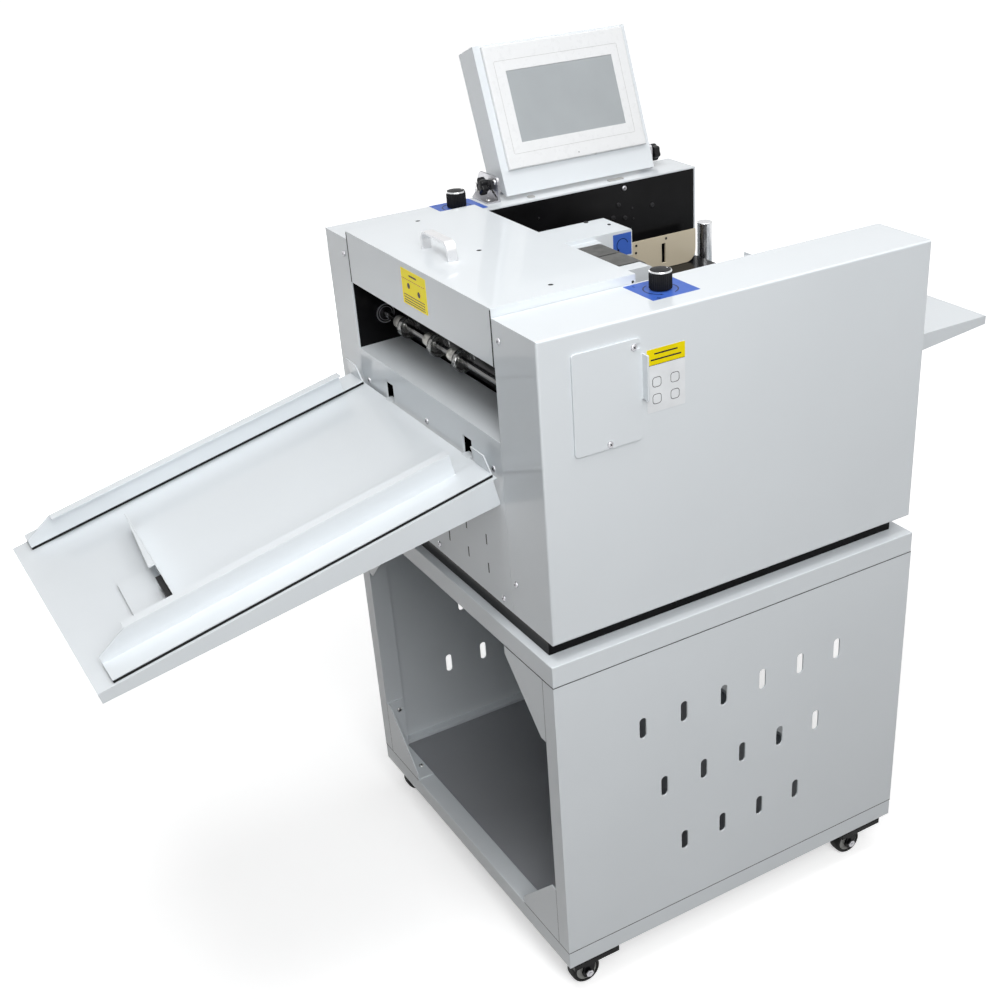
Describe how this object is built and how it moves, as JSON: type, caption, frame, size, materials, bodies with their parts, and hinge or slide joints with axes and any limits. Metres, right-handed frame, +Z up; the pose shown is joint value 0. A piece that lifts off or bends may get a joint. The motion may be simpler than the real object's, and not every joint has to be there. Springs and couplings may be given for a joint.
{
  "type": "die cutting machine",
  "caption": "Floor-standing sheet-fed die cutting machine: covered cutting head with suction feed, tilting screen and sloping delivery tray on a castered open cabinet.",
  "frame": {"origin": "centre of the whole machine's footprint, on the floor under the casters", "axes": "+X to the operator's side with the access door, +Y from the delivery tray to the feed end, +Z up"},
  "size_m": [0.5618, 1.1402, 1.0156],
  "materials": {
    "white_paint": "satin",
    "black_paint": "gloss",
    "beige_paint": "satin",
    "steel": "brushed",
    "chrome": "polished",
    "black_plastic": "matte",
    "white_plastic": "matte",
    "dark_plastic": "gloss",
    "rubber": "matte",
    "glass": "gloss"
  },
  "bodies": {
    "machine": {"cabinet_base": "white_paint", "cabinet_floor": "white_paint", "cabinet_side_near": "white_paint", "cabinet_side_far": "white_paint", "cabinet_top": "white_paint", "cabinet_stiffeners": "white_paint", "caster_plates": "black_paint", "plinth": "black_paint", "side_frame_near": "black_paint", "side_frame_far": "black_paint", "shaft_bearings": "steel", "near_cover": "white_paint", "far_cover": "white_paint", "front_panel": "white_paint", "rear_panel": "white_paint", "cover_screws": "steel", "drive_motor": "black_paint", "feed_head_housing": "white_paint", "feed_belts": "rubber", "feed_table": "black_paint", "infeed_table": "white_paint", "screen_bracket": "steel", "power_inlet": "black_plastic"},
    "top_cover": {"top_cover": "white_paint", "top_handle": "white_paint"},
    "access_door": {"access_door": "white_paint"},
    "delivery_shaft": {"delivery_shaft": "steel", "delivery_wheels": "dark_plastic"},
    "die": {"die_cylinder": "steel", "die_gear": "steel"},
    "anvil": {"anvil_cylinder": "steel", "anvil_gear": "steel"},
    "feed_drum_front": {"feed_drum_front": "steel"},
    "feed_drum_rear": {"feed_drum_rear": "steel"},
    "side_guide_near": {"side_guide_near": "beige_paint"},
    "side_guide_far": {"side_guide_far": "beige_paint"},
    "guide_post": {"guide_post": "chrome"},
    "back_stop": {"back_stop": "white_paint"},
    "delivery_tray": {"delivery_tray": "white_paint"},
    "tray_guide_near": {"tray_guide_near": "white_paint", "guide_magnet_near": "rubber"},
    "tray_guide_far": {"tray_guide_far": "white_paint", "guide_magnet_far": "rubber"},
    "paper_stop": {"paper_stop": "white_paint"},
    "screen": {"screen_housing": "white_paint", "screen_bezel": "white_plastic", "screen_glass": "glass"},
    "clamp_knobs": {"clamp_knobs": "black_plastic"},
    "pressure_knob_near": {"pressure_knob_near": "black_plastic"},
    "pressure_knob_far": {"pressure_knob_far": "black_plastic"},
    "power_switch": {"power_switch": "black_plastic"},
    "caster_front_near": {"caster_fork_front_near": "black_paint"},
    "wheel_front_near": {"caster_wheel_front_near": "rubber"},
    "caster_rear_near": {"caster_fork_rear_near": "black_paint"},
    "wheel_rear_near": {"caster_wheel_rear_near": "rubber"},
    "caster_front_far": {"caster_fork_front_far": "black_paint"},
    "wheel_front_far": {"caster_wheel_front_far": "rubber"},
    "caster_rear_far": {"caster_fork_rear_far": "black_paint"},
    "wheel_rear_far": {"caster_wheel_rear_far": "rubber"}
  },
  "joints": [
    {"name": "top_cover_hinge", "type": "hinge", "parent": "machine", "child": "top_cover", "pos_m": [0.01023, 0.02805, 0.8264], "axis": [-1, 0, 0], "range_deg": [0, 70]},
    {"name": "access_door_swing", "type": "hinge", "parent": "machine", "child": "access_door", "pos_m": [0.26988, -0.05255, 0.7163], "axis": [1, 0, 0], "range_deg": [0, 110]},
    {"name": "anvil_spin", "type": "hinge", "parent": "machine", "child": "anvil", "pos_m": [0.01023, -0.04395, 0.72625], "axis": [1, 0, 0], "continuous": true},
    {"name": "die_spin", "type": "hinge", "parent": "machine", "child": "die", "pos_m": [0.01023, -0.04395, 0.78255], "axis": [1, 0, 0], "continuous": true},
    {"name": "delivery_shaft_spin", "type": "hinge", "parent": "machine", "child": "delivery_shaft", "pos_m": [0.01023, -0.09115, 0.7423], "axis": [1, 0, 0], "continuous": true},
    {"name": "feed_front_spin", "type": "hinge", "parent": "machine", "child": "feed_drum_front", "pos_m": [0.01023, 0.05505, 0.7994], "axis": [1, 0, 0], "continuous": true},
    {"name": "feed_rear_spin", "type": "hinge", "parent": "machine", "child": "feed_drum_rear", "pos_m": [0.01023, 0.12905, 0.7994], "axis": [1, 0, 0], "continuous": true},
    {"name": "side_guide_near_slide", "type": "slide", "parent": "machine", "child": "side_guide_near", "axis": [1, 0, 0], "range_m": [-0.09, 0.004]},
    {"name": "side_guide_far_slide", "type": "slide", "parent": "machine", "child": "side_guide_far", "axis": [1, 0, 0], "range_m": [-0.004, 0.09]},
    {"name": "guide_post_slide", "type": "slide", "parent": "machine", "child": "guide_post", "axis": [1, 0, 0], "range_m": [0, 0.12]},
    {"name": "back_stop_slide", "type": "slide", "parent": "machine", "child": "back_stop", "axis": [0, 1, 0], "range_m": [-0.045, 0.07]},
    {"name": "delivery_tray_lift", "type": "hinge", "parent": "machine", "child": "delivery_tray", "pos_m": [0.01023, -0.12895, 0.6645], "axis": [-1, 0, 0], "range_deg": [0, 12]},
    {"name": "tray_guide_near_slide", "type": "slide", "parent": "delivery_tray", "child": "tray_guide_near", "axis": [1, 0, 0], "range_m": [0, 0.012]},
    {"name": "tray_guide_far_slide", "type": "slide", "parent": "delivery_tray", "child": "tray_guide_far", "axis": [1, 0, 0], "range_m": [-0.006, 0.05]},
    {"name": "paper_stop_slide", "type": "slide", "parent": "delivery_tray", "child": "paper_stop", "axis": [0, -0.9757, -0.2192], "range_m": [-0.2, 0.06]},
    {"name": "screen_tilt", "type": "hinge", "parent": "machine", "child": "screen", "pos_m": [-0.20777, 0.2048, 0.8574], "axis": [0, -1, 0], "range_deg": [-6, 25]},
    {"name": "clamp_turn", "type": "hinge", "parent": "machine", "child": "clamp_knobs", "pos_m": [-0.20777, 0.09455, 0.8574], "axis": [0, 1, 0], "continuous": true},
    {"name": "pressure_near_turn", "type": "hinge", "parent": "machine", "child": "pressure_knob_near", "pos_m": [0.21663, 0.04865, 0.8405], "axis": [0, 0, 1], "continuous": true},
    {"name": "pressure_far_turn", "type": "hinge", "parent": "machine", "child": "pressure_knob_far", "pos_m": [-0.19977, 0.03445, 0.8405], "axis": [0, 0, 1], "continuous": true},
    {"name": "power_rocker", "type": "hinge", "parent": "machine", "child": "power_switch", "pos_m": [-0.08977, 0.36605, 0.5824], "axis": [1, 0, 0], "range_deg": [-8, 8]},
    {"name": "swivel_front_near", "type": "hinge", "parent": "machine", "child": "caster_front_near", "pos_m": [0.25168, -0.09895, 0.044], "axis": [0, 0, 1], "continuous": true},
    {"name": "roll_front_near", "type": "hinge", "parent": "caster_front_near", "child": "wheel_front_near", "pos_m": [0.25168, -0.10495, 0.019], "axis": [1, 0, 0], "continuous": true},
    {"name": "swivel_rear_near", "type": "hinge", "parent": "machine", "child": "caster_rear_near", "pos_m": [0.25168, 0.32155, 0.044], "axis": [0, 0, 1], "continuous": true},
    {"name": "roll_rear_near", "type": "hinge", "parent": "caster_rear_near", "child": "wheel_rear_near", "pos_m": [0.25168, 0.31555, 0.019], "axis": [1, 0, 0], "continuous": true},
    {"name": "swivel_front_far", "type": "hinge", "parent": "machine", "child": "caster_front_far", "pos_m": [-0.20932, -0.09895, 0.044], "axis": [0, 0, 1], "continuous": true},
    {"name": "roll_front_far", "type": "hinge", "parent": "caster_front_far", "child": "wheel_front_far", "pos_m": [-0.20932, -0.10495, 0.019], "axis": [1, 0, 0], "continuous": true},
    {"name": "swivel_rear_far", "type": "hinge", "parent": "machine", "child": "caster_rear_far", "pos_m": [-0.20932, 0.32155, 0.044], "axis": [0, 0, 1], "continuous": true},
    {"name": "roll_rear_far", "type": "hinge", "parent": "caster_rear_far", "child": "wheel_rear_far", "pos_m": [-0.20932, 0.31555, 0.019], "axis": [1, 0, 0], "continuous": true}
  ],
  "couplings": [
    {"joint": "die_spin", "follows": "anvil_spin", "ratio": -1},
    {"joint": "delivery_shaft_spin", "follows": "anvil_spin", "ratio": -2.1538},
    {"joint": "feed_rear_spin", "follows": "feed_front_spin", "ratio": 1}
  ]
}
